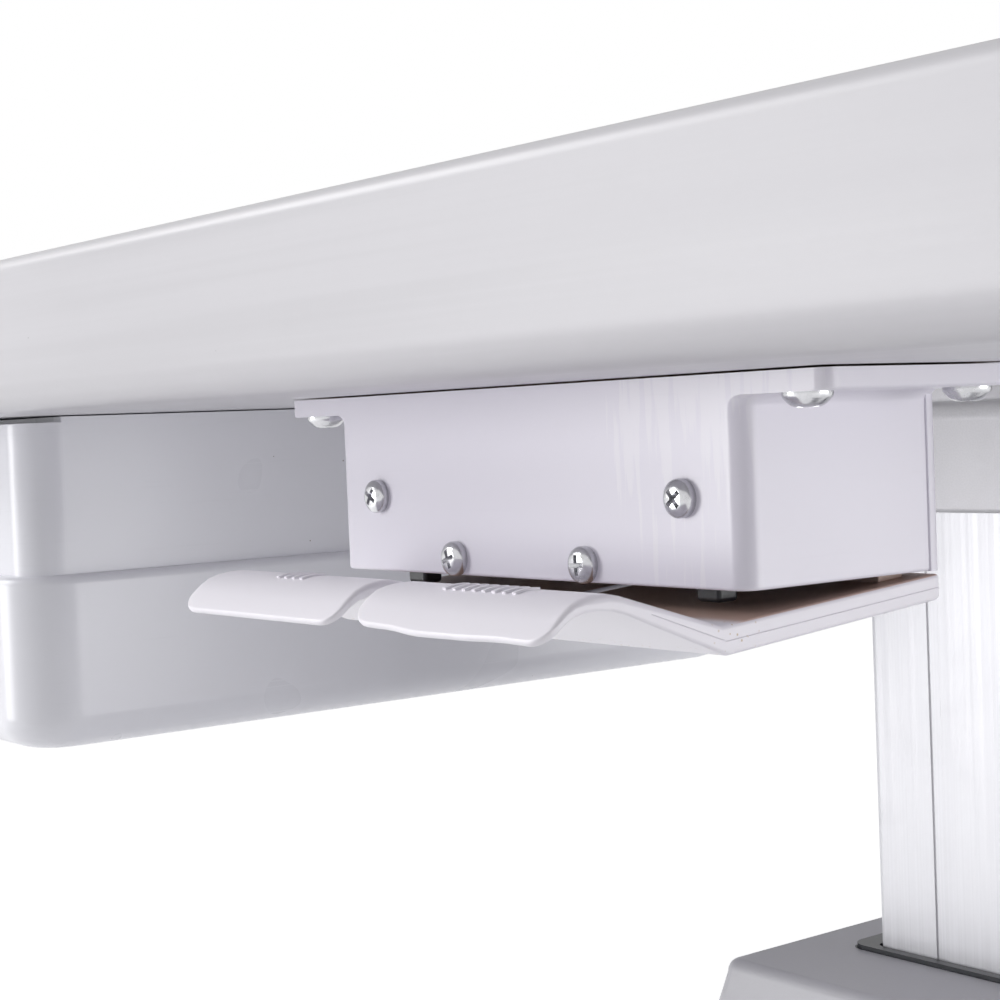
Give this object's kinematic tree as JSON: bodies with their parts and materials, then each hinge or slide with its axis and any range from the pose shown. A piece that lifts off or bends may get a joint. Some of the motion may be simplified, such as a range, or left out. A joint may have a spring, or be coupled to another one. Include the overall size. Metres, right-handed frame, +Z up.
{
  "type": "ophthalmic instrument table",
  "caption": "Height-adjustable instrument table: laminated top on an electric lifting column and castor base, with a drawer and rocker paddles under the front edge.",
  "frame": {"origin": "on the floor, under the middle of the tabletop", "axes": "+Z up, +X along the tabletop to the operator's right, the operator stands at -Y"},
  "size_m": [0.8, 0.44, 0.721],
  "materials": {
    "top_laminate": "grey-white satin laminate pressed round a board",
    "box_plastic": "glossy off-white moulding with fine scuffs",
    "paddle_plastic": "glossy off-white moulding",
    "drawer_plastic": "glossy bluish-white moulding",
    "cover_plastic": "satin grey moulding",
    "black_plastic": "matt black moulding",
    "brake_plastic": "grey nylon moulding",
    "zinc_steel": "bright zinc plate",
    "bare_steel": "drawn steel",
    "cast_aluminium": "satin cast aluminium",
    "column_aluminium": "pale anodised extrusion",
    "base_paint": "light grey powder coat",
    "wheel_rubber": "grey rubber tread"
  },
  "bodies": {
    "base": {"left_foot": "base_paint", "right_foot": "base_paint", "cross_beam": "base_paint", "power_inlet": "black_plastic", "column_base_plate": "bare_steel", "outer_tube": "bare_steel", "upper_guide_bush": "black_plastic", "actuator_gearbox": "black_plastic", "actuator_motor": "bare_steel", "actuator_tube": "bare_steel", "control_unit": "black_plastic", "pedestal_cover": "cover_plastic"},
    "lift": {"tabletop": "top_laminate", "column_head": "cast_aluminium", "inner_column": "column_aluminium", "lower_guide_bush": "black_plastic", "push_rod": "bare_steel", "switch_box": "box_plastic", "up_switch": "black_plastic", "down_switch": "black_plastic", "paddle_pin": "zinc_steel", "drawer_housing": "drawer_plastic", "ear_screw_1": "zinc_steel", "ear_screw_2": "zinc_steel", "ear_screw_3": "zinc_steel", "ear_screw_4": "zinc_steel", "switch_screw_1": "zinc_steel", "switch_screw_2": "zinc_steel", "switch_screw_3": "zinc_steel", "switch_screw_4": "zinc_steel", "flange_screw_1": "zinc_steel", "flange_screw_2": "zinc_steel", "flange_screw_3": "zinc_steel", "flange_screw_4": "zinc_steel", "housing_screw_1": "zinc_steel", "housing_screw_2": "zinc_steel", "housing_screw_3": "zinc_steel", "housing_screw_4": "zinc_steel"},
    "drawer": {"drawer_tub": "drawer_plastic"},
    "up_rocker": {"up_paddle": "paddle_plastic"},
    "down_rocker": {"down_paddle": "paddle_plastic"},
    "up_button": {"up_plunger": "black_plastic"},
    "down_button": {"down_plunger": "black_plastic"},
    "front_left_swivel": {"front_left_castor_fork": "zinc_steel", "front_left_castor_axle": "zinc_steel"},
    "front_left_roller": {"front_left_castor_wheel": "wheel_rubber"},
    "front_left_pedal": {"front_left_castor_brake": "brake_plastic"},
    "front_right_swivel": {"front_right_castor_fork": "zinc_steel", "front_right_castor_axle": "zinc_steel"},
    "front_right_roller": {"front_right_castor_wheel": "wheel_rubber"},
    "front_right_pedal": {"front_right_castor_brake": "brake_plastic"},
    "rear_left_swivel": {"rear_left_castor_fork": "zinc_steel", "rear_left_castor_axle": "zinc_steel"},
    "rear_left_roller": {"rear_left_castor_wheel": "wheel_rubber"},
    "rear_right_swivel": {"rear_right_castor_fork": "zinc_steel", "rear_right_castor_axle": "zinc_steel"},
    "rear_right_roller": {"rear_right_castor_wheel": "wheel_rubber"}
  },
  "joints": [
    {"name": "column_lift", "type": "slide", "parent": "base", "child": "lift", "axis": [0, 0, 1], "range_m": [-0.09, 0.11]},
    {"name": "drawer_slide", "type": "slide", "parent": "lift", "child": "drawer", "axis": [0, -1, 0], "range_m": [0, 0.18]},
    {"name": "up_paddle_hinge", "type": "hinge", "parent": "lift", "child": "up_rocker", "pos_m": [-0.0222, -0.147, 0.6631], "axis": [-1, 0, 0], "range_deg": [0, 4.5], "stiffness_Nm_per_rad": 0.5},
    {"name": "down_paddle_hinge", "type": "hinge", "parent": "lift", "child": "down_rocker", "pos_m": [0.0278, -0.147, 0.6631], "axis": [-1, 0, 0], "range_deg": [0, 4.5], "stiffness_Nm_per_rad": 0.5},
    {"name": "up_plunger_slide", "type": "slide", "parent": "lift", "child": "up_button", "axis": [0, 0, 1], "range_m": [0, 0.0017]},
    {"name": "down_plunger_slide", "type": "slide", "parent": "lift", "child": "down_button", "axis": [0, 0, 1], "range_m": [0, 0.0017]},
    {"name": "front_left_castor_swivel", "type": "hinge", "parent": "base", "child": "front_left_swivel", "pos_m": [-0.25, -0.165, 0.061], "axis": [0, 0, 1], "continuous": true},
    {"name": "front_left_castor_roll", "type": "hinge", "parent": "front_left_swivel", "child": "front_left_roller", "pos_m": [-0.25, -0.183, 0.025], "axis": [1, 0, 0], "continuous": true},
    {"name": "front_left_brake_hinge", "type": "hinge", "parent": "front_left_swivel", "child": "front_left_pedal", "pos_m": [-0.25, -0.182, 0.057], "axis": [1, 0, 0], "range_deg": [0, 20]},
    {"name": "front_right_castor_swivel", "type": "hinge", "parent": "base", "child": "front_right_swivel", "pos_m": [0.25, -0.165, 0.061], "axis": [0, 0, 1], "continuous": true},
    {"name": "front_right_castor_roll", "type": "hinge", "parent": "front_right_swivel", "child": "front_right_roller", "pos_m": [0.25, -0.183, 0.025], "axis": [1, 0, 0], "continuous": true},
    {"name": "front_right_brake_hinge", "type": "hinge", "parent": "front_right_swivel", "child": "front_right_pedal", "pos_m": [0.25, -0.182, 0.057], "axis": [1, 0, 0], "range_deg": [0, 20]},
    {"name": "rear_left_castor_swivel", "type": "hinge", "parent": "base", "child": "rear_left_swivel", "pos_m": [-0.25, 0.165, 0.061], "axis": [0, 0, 1], "continuous": true},
    {"name": "rear_left_castor_roll", "type": "hinge", "parent": "rear_left_swivel", "child": "rear_left_roller", "pos_m": [-0.25, 0.183, 0.025], "axis": [1, 0, 0], "continuous": true},
    {"name": "rear_right_castor_swivel", "type": "hinge", "parent": "base", "child": "rear_right_swivel", "pos_m": [0.25, 0.165, 0.061], "axis": [0, 0, 1], "continuous": true},
    {"name": "rear_right_castor_roll", "type": "hinge", "parent": "rear_right_swivel", "child": "rear_right_roller", "pos_m": [0.25, 0.183, 0.025], "axis": [1, 0, 0], "continuous": true}
  ],
  "couplings": [
    {"joint": "up_plunger_slide", "follows": "up_paddle_hinge", "m_per_rad": 0.0204},
    {"joint": "down_plunger_slide", "follows": "down_paddle_hinge", "m_per_rad": 0.0204}
  ]
}
